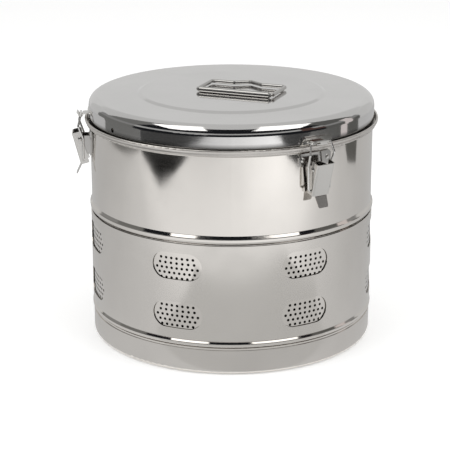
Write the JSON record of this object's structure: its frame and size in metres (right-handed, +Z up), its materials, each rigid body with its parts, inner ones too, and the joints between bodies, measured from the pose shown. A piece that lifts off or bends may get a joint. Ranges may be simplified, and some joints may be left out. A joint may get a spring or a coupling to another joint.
{
  "type": "sterilization container",
  "caption": "Round steel drum with perforated windows in its side, a turning band that covers them, a lift-off lid with a folding wire handle and over-centre latches round the rim.",
  "frame": {"origin": "middle of the flat underside, on the drum's axis", "axes": "+Z up along the drum's axis, -Y the front seen in the picture, +X to the right of the picture"},
  "size_m": [0.3142, 0.3007, 0.2598],
  "materials": {
    "polished_body": "mirror-polished stainless sheet",
    "polished_lid": "mirror-polished stainless sheet",
    "satin_band": "satin stainless strip",
    "satin_base": "satin stainless sheet",
    "latch_steel": "polished pressed stainless sheet",
    "handle_steel": "polished rolled stainless strap",
    "wire_steel": "bright drawn stainless wire",
    "rivet_steel": "stainless rivets"
  },
  "bodies": {
    "drum": {"drum_wall": "polished_body", "base_pan": "satin_base", "band_stop_rivet": "rivet_steel", "bracket_rivets": "rivet_steel", "latch_bracket_1": "latch_steel", "lever_pin_1": "rivet_steel", "latch_bracket_2": "latch_steel", "lever_pin_2": "rivet_steel", "latch_bracket_3": "latch_steel", "lever_pin_3": "rivet_steel"},
    "band": {"sliding_band": "satin_band"},
    "lid": {"lid_shell": "polished_lid", "handle_strap": "handle_steel", "lid_keeper_1": "latch_steel", "lid_keeper_2": "latch_steel", "lid_keeper_3": "latch_steel"},
    "bail": {"handle_bail": "wire_steel"},
    "lever_1": {"latch_lever_1": "latch_steel"},
    "loop_1": {"latch_loop_1": "wire_steel"},
    "lever_2": {"latch_lever_2": "latch_steel"},
    "loop_2": {"latch_loop_2": "wire_steel"},
    "lever_3": {"latch_lever_3": "latch_steel"},
    "loop_3": {"latch_loop_3": "wire_steel"}
  },
  "joints": [
    {"name": "band_turn", "type": "hinge", "parent": "drum", "child": "band", "pos_m": [0, 0, 0.0845], "axis": [0, 0, 1], "range_deg": [0, 25.66]},
    {"name": "lid_lift", "type": "slide", "parent": "drum", "child": "lid", "axis": [0, 0, 1], "range_m": [0, 0.18]},
    {"name": "bail_fold", "type": "hinge", "parent": "lid", "child": "bail", "pos_m": [0.00284, -0.02309, 0.2569], "axis": [0.9323, -0.3616, 0], "range_deg": [0, 175]},
    {"name": "lever_1_open", "type": "hinge", "parent": "drum", "child": "lever_1", "pos_m": [0.08577, -0.12959, 0.207], "axis": [-0.8339, -0.5519, 0], "range_deg": [0, 84]},
    {"name": "loop_1_swing", "type": "hinge", "parent": "lever_1", "child": "loop_1", "pos_m": [0.08423, -0.12725, 0.1853], "axis": [-0.8339, -0.5519, 0], "range_deg": [-50, 0]},
    {"name": "lever_2_open", "type": "hinge", "parent": "drum", "child": "lever_2", "pos_m": [0.06934, 0.13907, 0.207], "axis": [0.8949, -0.4462, 0], "range_deg": [0, 84]},
    {"name": "loop_2_swing", "type": "hinge", "parent": "lever_2", "child": "loop_2", "pos_m": [0.06809, 0.13657, 0.1853], "axis": [0.8949, -0.4462, 0], "range_deg": [-50, 0]},
    {"name": "lever_3_open", "type": "hinge", "parent": "drum", "child": "lever_3", "pos_m": [-0.15511, -0.00949, 0.207], "axis": [-0.061, 0.9981, 0], "range_deg": [0, 84]},
    {"name": "loop_3_swing", "type": "hinge", "parent": "lever_3", "child": "loop_3", "pos_m": [-0.15232, -0.00932, 0.1853], "axis": [-0.061, 0.9981, 0], "range_deg": [-50, 0]}
  ],
  "couplings": [
    {"joint": "loop_1_swing", "follows": "lever_1_open", "ratio": -0.54},
    {"joint": "loop_2_swing", "follows": "lever_2_open", "ratio": -0.54},
    {"joint": "loop_3_swing", "follows": "lever_3_open", "ratio": -0.54}
  ]
}
